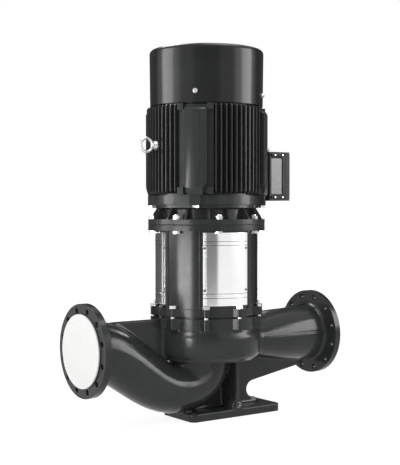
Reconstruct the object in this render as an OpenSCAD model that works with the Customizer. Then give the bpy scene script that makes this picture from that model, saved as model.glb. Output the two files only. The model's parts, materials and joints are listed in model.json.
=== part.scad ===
/* [Pipework] */
// Distance between the raised faces of the two pipe flanges
face_to_face = 1100; // [1070:10:1200]
// Height of the pipe axis above the floor
pipe_axis_h = 290; // [285:5:330]
// Bore of both nozzles
nozzle_bore = 200; // [190:2:206]
// Outer diameter of the pipe flanges
flange_od = 340; // [334:2:360]
// Thickness of a pipe flange behind its raised face
flange_t = 26; // [22:1:30]
// Outer diameter of the raised sealing face
face_od = 266; // [256:2:268]
// Height of the raised sealing face
face_t = 3; // [2:0.5:4]
// Diameter of the circle of flange bolt holes
flange_pcd = 295; // [292:1:305]
// Number of bolt holes in a pipe flange
flange_holes = 12; // [8, 12, 16]
// Diameter of a flange bolt hole
flange_hole_d = 22; // [18:1:24]
// Radius of the neck where it leaves a flange
neck_r = 112; // [110:1:116]

/* [Casing] */
// Wall of the cast casing
casing_wall = 11; // [9:0.5:12]
// Outer radius of the volute drum
drum_r = 210; // [208:1:216]
// Distance of the drum's centre from the shaft, towards the discharge
drum_shift = 8; // [5:1:10]
// Underside of the drum below the pipe axis
drum_drop = 65; // [62:1:72]
// Top of the drum above the pipe axis
drum_rise = 52; // [50:1:58]
// Fillet round the drum's underside
drum_fillet = 28; // [20:1:32]
// Top face of the casing above the pipe axis
casing_rise = 101.5; // [98:0.5:110]
// Step of the ring that carries the casing lugs outside the lantern's wall
ring_step = 2.5; // [2:0.5:4]
// Wall of that ring round the casing's mouth
mouth_wall = 18; // [16:0.5:22]
// Half height of the suction passage at its lowest point
elbow_r = 93; // [90:1:98]
// Lowest point of the suction passage's centre line behind the shaft
elbow_back = 142; // [130:2:150]
// Thickness of the webs and ribs
web_t = 15; // [10:1:18]

/* [Foot] */
// Length of the foot plate
foot_len = 426; // [400:2:440]
// Width of the foot plate
foot_w = 210; // [200:2:240]
// Thickness of the foot plate
foot_t = 30; // [24:1:34]
// Distance of the plate's middle from the shaft, towards the discharge
foot_shift = 75; // [62:1:80]
// Corner radius of the foot plate
foot_corner_r = 24; // [10:1:28]
// Diameter of a foundation bolt hole
foot_hole_d = 18; // [14:1:22]
// Distance of a foundation bolt hole from the plate's edges
foot_hole_inset = 22; // [18:1:24]

/* [Joint between casing and lantern] */
// Number of casing bolts
casing_bolts_n = 10; // [8, 10, 12]
// Distance of the casing bolts outside the casing's ring
lug_reach = 10; // [10:0.5:12]
// Diameter of a casing bolt
casing_bolt_d = 16; // [14:1:18]
// Width across the flats of a casing bolt's head
casing_bolt_af = 24; // [22:1:27]
// Height of a casing bolt's head
casing_bolt_head = 10; // [8:0.5:12]
// Gap that shows between casing and lantern
joint_gap = 6; // [4:0.5:8]
// Thickness of the seal cover's rim
cover_rim_t = 16; // [14:0.5:20]
// Thickness of the casing gasket
gasket_t = 1.5; // [1:0.5:2]
// Radius of the rounded nose of a lug
lug_nose_r = 13; // [11:0.5:14]
// Half width of a lug at its root
lug_half_w = 26; // [22:1:28]
// Height of a casing lug below the top face
lug_h = 42; // [36:1:48]

/* [Lantern] */
// Height of the lantern from its lower face to the motor flange
lantern_h = 341; // [331:1:361]
// Outer radius of the lantern's wall
lantern_r = 197.5; // [195:0.5:198]
// Thickness of the lantern's wall
lantern_wall = 10; // [8:0.5:12]
// Thickness of the lantern's lower ring
lantern_ring_t = 31; // [27:0.5:33]
// How far the two mating upper flanges stand out from the lantern's wall
flange_ledge = 27.5; // [26:0.5:32]
// Thickness of each of the two mating upper flanges
upper_flange_t = 21.5; // [18:0.5:24]
// Half angle of a window
window_half = 22; // [20:0.5:22.5]
// Angle from the middle of a wide column to the middle of a window
window_pitch = 50.25; // [49.5:0.25:51]
// Angle of the middle of the first wide column
column_angle = -152.7; // [-156:0.1:-150]
// Height of a window's sill above the lantern's lower ring
window_sill = 18; // [14:1:24]
// Height of the ribs beside each window
column_rib_h = 4; // [2:0.5:5]
// Thickness of a guard's sheet
guard_t = 2; // [1.5:0.1:2.5]
// Half width of a guard over its flat side strips
guard_half_w = 90; // [88:0.5:91]
// Width of a guard's side strip
strip_w = 13; // [11:0.5:14]
// Distance of a guard's screws from its middle height
guard_screw_z = 78; // [60:1:90]

/* [Motor] */
// Distance of the motor flange bolts from the flanges' edge
flange_edge = 15; // [14:0.5:16]
// Number of motor flange bolts
motor_bolts_n = 8; // [4, 8]
// Diameter of a motor flange bolt
motor_bolt_d = 16; // [14:1:18]
// Step from the lantern's wall in to the motor flange's spigot
spigot_step = 22.5; // [20:0.5:25]
// Height of the drive-end shield above its flange face
shield_h = 111.5; // [110:0.5:122]
// Outer radius of the motor frame's barrel
barrel_r = 196; // [195:0.5:198]
// Wall of the motor frame's barrel
frame_wall = 12; // [10:0.5:15]
// Length of the motor frame
frame_len = 340; // [334:1:360]
// Height of the cooling fins
fin_h = 35; // [32:0.5:38]
// Thickness of a cooling fin
fin_t = 3.4; // [3:0.1:4]
// Number of cooling fins in each quarter
fins_n = 11; // [9:1:11]
// Angle between neighbouring fins
fin_pitch = 5.1; // [4.6:0.1:5.2]
// Height of the four smooth pads
pad_h = 38; // [36:0.5:41]
// Half angle of a smooth pad
pad_half = 11; // [10:0.5:12]
// Turn of the pads and fins against the terminal box
pad_turn = -1.5; // [-2:0.5:0]
// Length of the motor's iron core
core_len = 220; // [200:2:236]
// Outer radius of the rotor
rotor_r = 118; // [112:0.5:122]
// Air gap between rotor and stator
air_gap = 1; // [0.8:0.1:1.5]

/* [Fan end] */
// Height of the fan cowl
cowl_h = 220; // [214:1:236]
// How far the fan cowl's rim stands out from the motor's barrel
cowl_step = 21; // [20:0.5:23]
// Growth of the cowl's radius from rim to top
cowl_flare = 2.5; // [0:0.5:4]
// Radius of the cowl's rounded top edge
cowl_edge_r = 16; // [10:1:20]
// Thickness of the cowl's sheet
cowl_t = 2; // [1.5:0.1:2.5]
// Number of rings of slots in the cowl's grille
grille_rings = 8; // [5:1:8]
// Number of fan blades
fan_blades = 7; // [5:1:9]
// Outer radius of the cooling fan
fan_r = 165; // [140:1:180]

/* [Terminal box] */
// Width of the terminal box
tbox_w = 180; // [172:2:186]
// Height of the terminal box
tbox_h = 192; // [184:2:196]
// Height of the box's lower edge above the motor frame's lower end
tbox_rise = -18; // [-20:1:-14]
// Distance of the box's back from the fins' tips
tbox_stand = 11; // [7:0.5:17]
// Depth of the box without its lid
tbox_d = 78; // [70:1:84]
// Thickness of the box's lid
tlid_t = 22; // [16:1:26]
// Wall of the terminal box
tbox_wall = 6; // [5:0.5:7]
// Outer diameter of the cable gland's body
gland_d = 50; // [40:1:54]

/* [Rotating set] */
// Radius of the impeller
impeller_r = 150; // [140:1:158]
// Width of the impeller's outlet
outlet_w = 36; // [30:1:40]
// Number of impeller vanes
vanes_n = 6; // [5:1:7]
// Thickness of an impeller shroud
shroud_t = 7; // [5:0.5:8]
// Inner radius of the impeller's eye
eye_r = 80; // [76:0.5:82]
// Radius of the pump shaft at the seal
pump_shaft_r = 20; // [19:0.5:21]
// Radius of the motor shaft's end
motor_shaft_r = 30; // [28:0.5:31]
// Length of the motor shaft's end below its flange
motor_shaft_end = 140; // [130:1:145]
// Outer radius of the coupling
coupling_r = 64; // [60:0.5:70]
// Length of the coupling
coupling_len = 175; // [165:1:185]

/* [Lifting and closing parts] */
// Height of the eyebolts above the motor frame's lower end
eyebolt_rise = 186; // [183:1:192]
// Radius of the eyebolt ring's middle line
eye_ring_r = 26; // [22:0.5:28]
// Radius of the eyebolt ring's bar
eye_bar_r = 6; // [5:0.5:6.5]
// Thickness of the port cap
cap_t = 5; // [3:0.5:8]
// Clearance round the port cap's plug
cap_clearance = 0.4; // [0.2:0.1:1]

/* [Hidden] */
$fn = 0;
$fa = 6;
$fs = 1;

// Colours
black_paint = "#1b1c1e";
cast_black = "#26282a";
stainless = "#d6d8da";
zinc = "#b9bcbf";
steel = "#8d9296";
bronze = "#a8803c";
rubber_black = "#151515";
cap_white = "#e9e9e2";
plastic_grey = "#6d7278";
copper = "#b06a3a";

// Overlap of solids that are joined, and excess of a cut
eps = 1;
// Running clearance between a turning ring and its neighbour
running = 0.3;
// Clearance of a seated ring, core or shank in its bore
seat_fit = 0.05;

// Radii of the casing, the lantern and their flanges
ring_r = lantern_r + ring_step;
mouth_r = ring_r - mouth_wall;
casing_bolt_r = ring_r + lug_reach;
upper_flange_r = lantern_r + flange_ledge;
motor_bolt_r = upper_flange_r - flange_edge;
spigot_r = lantern_r - spigot_step;

// Radii of the motor
frame_bore_r = barrel_r - frame_wall;
fin_r = barrel_r + fin_h;
pad_r = barrel_r + pad_h;
cowl_r = barrel_r + cowl_step;
eyebolt_seat = fin_r + 2;
tbox_x = fin_r + tbox_stand;

// Heights of the casing
z_axis = pipe_axis_h;
z_drum_b = z_axis - drum_drop;
z_drum_t = z_axis + drum_rise;
z_floor = z_drum_b + casing_wall;
z_ceiling = z_drum_t - casing_wall;
z_face = z_axis + casing_rise;
z_lantern = z_face + joint_gap;
z_cover = z_lantern - cover_rim_t;
z_rebate = z_cover - gasket_t;
rebate_r = mouth_r + 7;

// Heights of the lantern and the motor
z_motor = z_lantern + lantern_h;
z_sill = z_lantern + lantern_ring_t + window_sill;
z_lintel = z_motor - upper_flange_t - window_sill;
z_flange_top = z_motor + upper_flange_t;
z_frame = z_motor + shield_h;
z_frame_top = z_frame + frame_len;
z_cowl_top = z_frame_top + cowl_h;
z_core = z_frame + (frame_len - core_len) / 2;
z_eyebolt = z_frame + eyebolt_rise;

// Pipe flanges
x_ring = face_to_face / 2 - face_t;
x_neck = x_ring - flange_t;

// Suction passage: one curve from the flange to the lowest point, one up to the eye
throat_r = eye_r - 2;
column_r = throat_r + casing_wall - 1;
z_low = elbow_r + foot_t - 6;
neck_start = x_neck - 5;
curve_down = [
    [-neck_start, z_axis], [-neck_start + 130, z_axis],
    [-elbow_back - 145, z_low], [-elbow_back, z_low]
];
curve_up = [
    [-elbow_back, z_low], [-elbow_back + 85, z_low],
    [0, z_low + 45], [0, z_drum_b + 4]
];
elbow_half_w = 104;

// Body that joins the passage's lowest stretch to the drum above it
saddle_x = -elbow_back + 70;
saddle_r = elbow_r - 4;

// Discharge passage: a flattened diffuser that grows into the round neck
x_diffuser = 140;
diffuser_half_h = (z_drum_t - z_drum_b) / 2 - 1;
diffuser_half_w = 96;
z_diffuser = (z_drum_b + z_drum_t) / 2;
loft_sides = 32;

// Impeller and seal
z_mid = (z_floor + z_ceiling) / 2;
z_back = z_mid + outlet_w / 2;
z_front = z_mid - outlet_w / 2;
z_eye = z_floor + 5;
eye_ring_out = eye_r + 10;
wear_r = eye_ring_out + 8;
wear_clearance = 0.3;
boss_r = wear_r + 14;
z_boss = z_front - shroud_t - 6;
hub_r = 30;
z_hub = z_back + shroud_t + 30;
z_nose = z_front - 4;
impeller_seat_r = pump_shaft_r - 2;
thread_r = 12;
nut_h = 18;
washer_t = 6;
z_plug = z_ceiling - 10;
cover_plate_t = 20;
vent_x = 120;
vent_r = 8;
seal_bore_r = pump_shaft_r + 17;
seat_r = pump_shaft_r + 14;
z_seat_face = z_cover + 18;
z_seat_top = z_seat_face + 14;
seal_face_gap = 0.1;
ring_len = 12;
collar_h = 12;
z_collar = z_hub + 2;
cover_hub_r = seal_bore_r + 22;
z_cover_hub = z_seat_top + 16;

// Coupling and shafts
shaft_gap = 2;
z_shaft_end = z_motor - motor_shaft_end;
z_coupling = z_shaft_end - coupling_len / 2;
coupling_split = 1;
key_w = 18;
key_h = 11;
clamp_d = 10;
clamp_x = coupling_r - 16;
clamp_seat = 24;

// Bearings: bore radius, outer radius, width, ball radius
lower_bearing = [32.5, 70, 33, 12];
upper_bearing = [30, 65, 31, 11];
balls_n = 8;
z_lower_bearing = z_motor + 51.5;
z_upper_bearing = z_frame_top + 7;
shoulder = 3.5;

// Drive-end shield
neck_shield_r = 178;
shield_wall = 12;
shield_ring_r = barrel_r + 16;
ring_b_r = shield_ring_r - 12;
z_shield_ring = z_frame - 33;
bearing_hub_wall = 20;
lug_bolt_r = barrel_r + 18;
shield_lug_w = 42;
shield_lug_h = 38;
shield_bolt_d = 14;
pad_angles = [for (a = [45, 135, -135, -45]) a + pad_turn];
shield_rib_half = 12;

// Guards and casing lugs
guard_angles = [for (side = [0, 180], turn = [-1, 1]) column_angle + side + turn * window_pitch];
column_rib_angle = asin(guard_half_w / lantern_r) + 2.4;
guard_gap_low = 11;
guard_gap_high = 6;
z_guard = z_lantern + lantern_ring_t + guard_gap_low;
guard_h = z_motor - upper_flange_t - guard_gap_high - z_guard;
seat_depth = sqrt(pow(lantern_r, 2) - pow(guard_half_w, 2)) + 0.5;
panel_half = asin((guard_half_w - strip_w + 1) / lantern_r);
pressed_lines = [29, 45, guard_h - 47, guard_h - 33];
guard_screw_d = 6;
guard_head_d = 9;
screw_depth = 14;

// Terminal box
z_tbox = z_frame + tbox_rise;
lid_gasket_t = 2;
tlid_x = tbox_x + tbox_d + lid_gasket_t;
lid_screw_d = 5;
lid_screw_inset = 4.5;
stud_d = 5;

// Fan end
cowl_gap = 0.5;
grille_r = 38;
z_fan = z_frame_top + 60;
fan_hub_r = 42;
fan_seat_r = 24;
cowl_screw_z = 41;
cowl_ear_half = 5;

// Fasteners
casing_shank = lantern_ring_t + joint_gap + lug_h - 14;
washer_head_d = 18;

// Point on a cubic curve, and its direction, at t from 0 to 1
function on_curve(p, t) = pow(1 - t, 3) * p[0] + 3 * pow(1 - t, 2) * t * p[1]
    + 3 * (1 - t) * t * t * p[2] + pow(t, 3) * p[3];
function along_curve(p, t) = pow(1 - t, 2) * (p[1] - p[0]) + 2 * (1 - t) * t * (p[2] - p[1])
    + t * t * (p[3] - p[2]);

// Points of an arc in the plane of an outline
function arc(c, r, from, to, n) =
    [for (i = [0:n]) let (a = from + (to - from) * i / n) c + r * [cos(a), sin(a)]];

// One oval ring of a passage in the vertical plane of the pipe axis
function oval(c, dir, half_h, half_w) =
    let (u = dir / norm(dir))
    [for (i = [0:loft_sides - 1]) let (a = 360 * i / loft_sides)
        [c[0] - u[1] * half_h * cos(a), half_w * sin(a), c[1] + u[0] * half_h * cos(a)]];

// Solid through a list of rings
module loft(rings) {
    n = loft_sides;
    m = len(rings);
    polyhedron(
        points = [for (r = rings) each r],
        faces = concat(
            [[for (i = [n - 1:-1:0]) i]],
            [[for (i = [0:n - 1]) (m - 1) * n + i]],
            [for (k = [0:m - 2], i = [0:n - 1]) let (j = (i + 1) % n)
                [k * n + i, k * n + j, (k + 1) * n + i]],
            [for (k = [0:m - 2], i = [0:n - 1]) let (j = (i + 1) % n)
                [(k + 1) * n + i, k * n + j, (k + 1) * n + j]]
        )
    );
}

// Copies round the shaft
module round_shaft(n, first = 0) {
    for (i = [0:n - 1]) rotate([0, 0, first + 360 * i / n]) children();
}

module tube(r_out, r_in, z, h) {
    translate([0, 0, z]) difference() {
        cylinder(r = r_out, h = h);
        translate([0, 0, -eps]) cylinder(r = r_in, h = h + 2 * eps);
    }
}

module rod(r, z, h) {
    translate([0, 0, z]) cylinder(r = r, h = h);
}

// Plate in the vertical plane of the pipe axis, from an outline of x and z
module web(outline, t) {
    translate([0, t / 2, 0]) rotate([90, 0, 0]) linear_extrude(t) polygon(outline);
}

// Hexagon head or nut, standing on z = 0, with flats across X
module hexagon(af, h) {
    rotate([0, 0, 30]) cylinder(r = af / sqrt(3), h = h, $fn = 6);
}

// Hexagon bolt: its head stands on z = 0 and its shank hangs below
module hex_bolt(d, af, head, shank) {
    hexagon(af, head);
    translate([0, 0, -shank]) cylinder(r = d / 2 - seat_fit, h = shank + eps);
}

// Sector of a ring
module sector(r_in, r_out, half, z, h) {
    translate([0, 0, z]) rotate_extrude(angle = 2 * half, start = -half)
        translate([r_in, 0]) square([r_out - r_in, h]);
}

// Everything of the suction passage is drawn twice: as the wall's outside and as the passage
module suction_passage(inset) {
    down = 14;
    up = 8;
    lead = inset > 0 ? 6 : 0;
    first = oval([-neck_start - 1 - lead, z_axis], [1, 0], neck_r - inset, neck_r - inset);
    rings_down = [for (i = [0:down]) let (t = i / down)
        oval(on_curve(curve_down, t), along_curve(curve_down, t),
            elbow_r + (neck_r - elbow_r) * pow(1 - t, 2) - inset,
            elbow_half_w + (neck_r - elbow_half_w) * pow(1 - t, 2) - inset)];
    rings_up = [for (i = [1:up]) let (t = i / up)
        oval(on_curve(curve_up, t), along_curve(curve_up, t),
            column_r + (elbow_r - column_r) * (1 - t) - inset,
            column_r + (elbow_half_w - column_r) * (1 - t) - inset)];
    loft(concat([first], rings_down, rings_up));
}

module discharge_passage(inset) {
    n = 10;
    x_end = neck_start + (inset > 0 ? 6 : 1);
    loft([for (i = [0:n]) let (t = i / n, grow = sin(90 * t))
        oval([x_diffuser + (x_end - x_diffuser) * t, z_diffuser + (z_axis - z_diffuser) * t],
            [1, 0],
            diffuser_half_h + (neck_r - diffuser_half_h) * grow - inset,
            diffuser_half_w + (neck_r - diffuser_half_w) * grow - inset)]);
}

module volute(inset) {
    r = drum_r - inset;
    f = max(drum_fillet - inset, 6);
    low = z_drum_b + inset;
    high = z_drum_t - inset;
    top_f = max(f - 6, 5);
    translate([drum_shift, 0, 0]) rotate_extrude() polygon(concat(
        [[0, low]],
        arc([r - f, low + f], f, -90, 0, 5),
        arc([r - top_f, high - top_f], top_f, 0, 90, 4),
        [[0, high]]
    ));
}

module pipe_flange() {
    rotate([0, 90, 0]) {
        translate([0, 0, x_neck]) cylinder(d = flange_od, h = flange_t);
        translate([0, 0, x_ring - eps]) cylinder(d = face_od, h = face_t + eps);
        translate([0, 0, x_neck - 12]) cylinder(r1 = neck_r - 1, r2 = neck_r + 13, h = 12 + eps);
    }
}

module pipe_flange_cuts() {
    rotate([0, 90, 0]) {
        translate([0, 0, x_neck - 9]) cylinder(d = nozzle_bore, h = flange_t + face_t + 10);
        for (i = [0:flange_holes - 1]) rotate([0, 0, 360 * (i + 0.5) / flange_holes])
            translate([flange_pcd / 2, 0, x_neck - 2])
                cylinder(d = flange_hole_d, h = flange_t + 4);
    }
}

// Outline of one bolt lug, from inside the ring to its rounded nose
module lug_outline(r) {
    translate([r, 0]) circle(r = lug_nose_r);
    polygon([[r - 18, -lug_half_w], [r + 4, -lug_nose_r], [r + 4, lug_nose_r], [r - 18, lug_half_w]]);
}

module lugs(z, h) {
    translate([0, 0, z]) round_shaft(casing_bolts_n, 180 / casing_bolts_n)
        linear_extrude(h) lug_outline(casing_bolt_r);
    translate([0, 0, z]) for (a = [0, 180]) rotate([0, 0, a])
        linear_extrude(h) lug_outline(casing_bolt_r - 5);
}

module foot_plate() {
    reach = [foot_len / 2 - foot_corner_r, foot_w / 2 - foot_corner_r];
    translate([foot_shift, 0, 0]) difference() {
        linear_extrude(foot_t) {
            square([foot_len, 2 * reach[1]], center = true);
            square([2 * reach[0], foot_w], center = true);
            for (x = [-1, 1], y = [-1, 1]) translate([x * reach[0], y * reach[1]])
                circle(r = foot_corner_r);
        }
        for (x = [-1, 1], y = [-1, 1])
            translate([x * (foot_len / 2 - foot_hole_inset), y * (foot_w / 2 - foot_hole_inset), -eps])
                cylinder(d = foot_hole_d, h = foot_t + 2 * eps);
    }
}

// Web under the discharge neck, with its round cut-out above the foot
module lower_web() {
    x_cut = foot_shift + 153;
    r_cut = 33;
    z_cut = foot_t + 50;
    web(concat(
        [[-elbow_back + 20, foot_t - 4], [x_cut + 40, foot_t - 4], [x_cut + 18, foot_t + 8]],
        arc([x_cut, z_cut], r_cut, -75, -260, 8),
        [[x_neck - 60, z_axis - neck_r - 24], [x_neck, z_axis - neck_r + 10],
            [x_neck, z_axis - neck_r + 40], [drum_r - 40, z_drum_b + 20], [20, z_drum_b + 20],
            [-elbow_back + 20, z_low]]
    ), web_t);
}

// Webs that tie both necks to the ring; the suction one fills the valley down to the neck
module upper_webs() {
    web(concat(
        [for (t = [0.9, 0.7, 0.5, 0.3]) on_curve(curve_down, t)],
        [[-x_neck + 60, z_axis + neck_r - 24], [-x_neck + 97, z_face - 4],
            [-mouth_r - 10, z_face - 4], [-mouth_r - 10, z_drum_b]]
    ), web_t);
    web([[mouth_r + 10, z_drum_t - 30], [mouth_r + 10, z_face - 4], [x_neck - 40, z_axis + neck_r - 4],
        [x_neck - 40, z_axis + neck_r - 30]], web_t);
}

module drain_boss() {
    translate([foot_shift, -foot_w / 2 + 1, foot_t - eps]) rotate([-90, 0, 0]) {
        translate([0, -17, 0]) cylinder(r = 24, h = 40);
        translate([-24, -17, 0]) cube([48, 17, 40]);
    }
}

module pump_casing() {
    color(cast_black) difference() {
        union() {
            suction_passage(0);
            discharge_passage(0);
            volute(0);
            for (side = [0, 180]) translate([0, 0, z_axis]) rotate([0, 0, side]) pipe_flange();
            rod(ring_r, z_drum_t - 30, z_face - z_drum_t + 30);
            lugs(z_face - lug_h, lug_h);
            rod(boss_r, z_drum_b + 2, z_floor - z_drum_b - 2 + eps);
            translate([saddle_x, 0, z_low]) cylinder(r = saddle_r, h = z_drum_b + 4 - z_low);
            foot_plate();
            lower_web();
            upper_webs();
            translate([foot_shift - web_t / 2, -foot_w / 2 + 1, foot_t - 4])
                cube([web_t, foot_w - 2, z_drum_b - foot_t + 8]);
            drain_boss();
        }
        suction_passage(casing_wall);
        discharge_passage(casing_wall);
        difference() {
            volute(casing_wall);
            rod(boss_r, z_floor - eps, z_boss - z_floor + eps);
        }
        for (side = [0, 180]) translate([0, 0, z_axis]) rotate([0, 0, side]) pipe_flange_cuts();
        rod(throat_r, z_drum_b - 2, z_boss - z_drum_b + 4);
        rod(wear_r, z_floor + 2, z_boss - z_floor);
        rod(mouth_r, z_ceiling - 8, z_face - z_ceiling + 9);
        rod(rebate_r, z_rebate, z_face - z_rebate + eps);
        round_shaft(casing_bolts_n, 180 / casing_bolts_n) translate([casing_bolt_r, 0, z_face - lug_h + 10])
            cylinder(d = casing_bolt_d, h = lug_h);
        translate([foot_shift, -foot_w / 2, foot_t + 16]) rotate([-90, 0, 0])
            cylinder(r = 9, h = 24);
    }
}

module wear_ring() {
    color(bronze) tube(wear_r - seat_fit, eye_ring_out + wear_clearance, z_floor + 2, z_boss - z_floor - 2);
}

module casing_gasket() {
    color(rubber_black) tube(rebate_r - 0.5, mouth_r, z_rebate, gasket_t);
}

module seal_cover() {
    rim_r = rebate_r - 0.2;
    plug_r = mouth_r - 0.3;
    dish_r = plug_r - 14;
    color(cast_black) difference() {
        rotate_extrude() polygon([
            [seal_bore_r, z_plug], [plug_r, z_plug], [plug_r, z_cover], [rim_r, z_cover],
            [rim_r, z_lantern], [dish_r, z_lantern], [dish_r - 12, z_plug + cover_plate_t],
            [cover_hub_r + 6, z_plug + cover_plate_t], [cover_hub_r, z_cover_hub],
            [pump_shaft_r + 2, z_cover_hub], [pump_shaft_r + 2, z_seat_top],
            [seat_r, z_seat_top], [seat_r, z_seat_face + 2], [seal_bore_r, z_seat_face + 2]
        ]);
        translate([vent_x, 0, z_plug - eps]) cylinder(r = vent_r, h = cover_plate_t + 2 * eps);
    }
}

module vent_plug() {
    color(zinc) translate([vent_x, 0, z_plug + 4]) {
        cylinder(r = vent_r - seat_fit, h = cover_plate_t - 4 + eps);
        translate([0, 0, cover_plate_t - 4]) hexagon(19, 10);
    }
}

module seal_seat() {
    color(steel) tube(seat_r - seat_fit, pump_shaft_r + 1.5, z_seat_face, z_seat_top - z_seat_face);
}

// Upright ribs beside the windows, cut back where a bolt head stands
module column_ribs() {
    low = z_lantern + lantern_ring_t;
    difference() {
        for (a = guard_angles, side = [-1, 1]) rotate([0, 0, a + side * column_rib_angle])
            sector(lantern_r - 3, lantern_r + column_rib_h, 1.4,
                low - 4, lantern_h - lantern_ring_t - upper_flange_t + 5);
        round_shaft(casing_bolts_n, 180 / casing_bolts_n) translate([casing_bolt_r, 0, low])
            cylinder(r = casing_bolt_af * 0.7, h = casing_bolt_head + 3);
    }
}

module lantern() {
    ring_in = rebate_r - 26;
    window_h = z_lintel - z_sill;
    color(cast_black) difference() {
        union() {
            rod(ring_r + 1, z_lantern, lantern_ring_t - 2);
            rod(lantern_r, z_lantern, lantern_h);
            rod(upper_flange_r, z_motor - upper_flange_t, upper_flange_t);
            lugs(z_lantern, lantern_ring_t);
            column_ribs();
        }
        rod(lantern_r - lantern_wall, z_lantern + lantern_ring_t, lantern_h);
        rod(ring_in, z_lantern - eps, lantern_h + 2 * eps);
        rod(spigot_r + 0.1, z_motor - upper_flange_t - eps, upper_flange_t + 2 * eps);
        for (a = guard_angles) rotate([0, 0, a]) {
            sector(lantern_r - 30, lantern_r + 20, window_half, z_sill, window_h);
            sector(lantern_r - guard_t - running, lantern_r + eps, panel_half + 1, z_guard - 1, guard_h + 2);
            for (side = [-1, 1])
                translate([seat_depth, side * (guard_half_w - 8) - 10, z_guard - 2])
                    cube([30, 20, guard_h + 4]);
            at_guard_screws(seat_depth - screw_depth) cylinder(d = guard_screw_d, h = screw_depth + eps);
        }
        round_shaft(casing_bolts_n, 180 / casing_bolts_n) translate([casing_bolt_r, 0, z_lantern - eps])
            cylinder(d = casing_bolt_d + 1.5, h = lantern_ring_t + 2 * eps);
        for (a = [0, 180]) rotate([0, 0, a]) translate([casing_bolt_r - 2, 0, z_lantern - eps])
            cylinder(d = 10, h = lantern_ring_t + 2 * eps);
        round_shaft(motor_bolts_n, 180 / motor_bolts_n)
            translate([motor_bolt_r, 0, z_motor - upper_flange_t - eps])
                cylinder(d = motor_bolt_d + 2, h = upper_flange_t + 2 * eps);
    }
}

// The four screw places of a guard, at a distance from the shaft
module at_guard_screws(x) {
    for (side = [-1, 1], z = [-1, 1])
        translate([x, side * (guard_half_w - strip_w / 2), z_guard + guard_h / 2 + z * guard_screw_z])
            rotate([0, 90, 0]) children();
}

// One guard: a curved panel between two flat side strips, with pressed lines near both ends
module guard() {
    r_out = lantern_r;
    inner = guard_half_w - strip_w;
    step = sqrt(pow(r_out, 2) - pow(inner, 2)) - seat_depth - running;
    sector(r_out - guard_t, r_out, panel_half, z_guard, guard_h);
    for (side = [0, 1]) mirror([0, side, 0]) translate([seat_depth, inner, z_guard]) {
        cube([guard_t, strip_w, guard_h]);
        cube([step, guard_t, guard_h]);
    }
    for (z = pressed_lines) sector(r_out - 1, r_out + 1, panel_half - 2, z_guard + z, 3);
}

module coupling_guards() {
    color(stainless) for (a = guard_angles) rotate([0, 0, a]) difference() {
        guard();
        at_guard_screws(seat_depth - eps) cylinder(d = guard_screw_d + 0.4, h = guard_t + 2 * eps);
    }
}

module guard_screws() {
    color(steel) for (a = guard_angles) rotate([0, 0, a]) at_guard_screws(seat_depth + guard_t) {
        cylinder(d = guard_head_d, h = 3);
        translate([0, 0, 1 - screw_depth]) cylinder(r = guard_screw_d / 2 - seat_fit, h = screw_depth);
    }
}

module casing_bolts() {
    color(zinc) round_shaft(casing_bolts_n, 180 / casing_bolts_n)
        translate([casing_bolt_r, 0, z_lantern + lantern_ring_t])
            hex_bolt(casing_bolt_d, casing_bolt_af, casing_bolt_head, casing_shank);
}

module jacking_screws() {
    color(steel) for (a = [0, 180]) rotate([0, 0, a])
        translate([casing_bolt_r - 2, 0, z_lantern + lantern_ring_t])
            hex_bolt(10, 16, 7, lantern_ring_t + joint_gap - 0.5);
}

module motor_flange_bolts() {
    color(zinc) round_shaft(motor_bolts_n, 180 / motor_bolts_n)
        translate([motor_bolt_r, 0, z_motor - upper_flange_t]) mirror([0, 0, 1])
            hex_bolt(motor_bolt_d, 24, 10, 2 * upper_flange_t + 18);
}

module motor_flange_nuts() {
    color(zinc) round_shaft(motor_bolts_n, 180 / motor_bolts_n)
        translate([motor_bolt_r, 0, z_flange_top]) difference() {
            hexagon(24, 13);
            translate([0, 0, -eps]) cylinder(d = motor_bolt_d, h = 15);
        }
}

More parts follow.
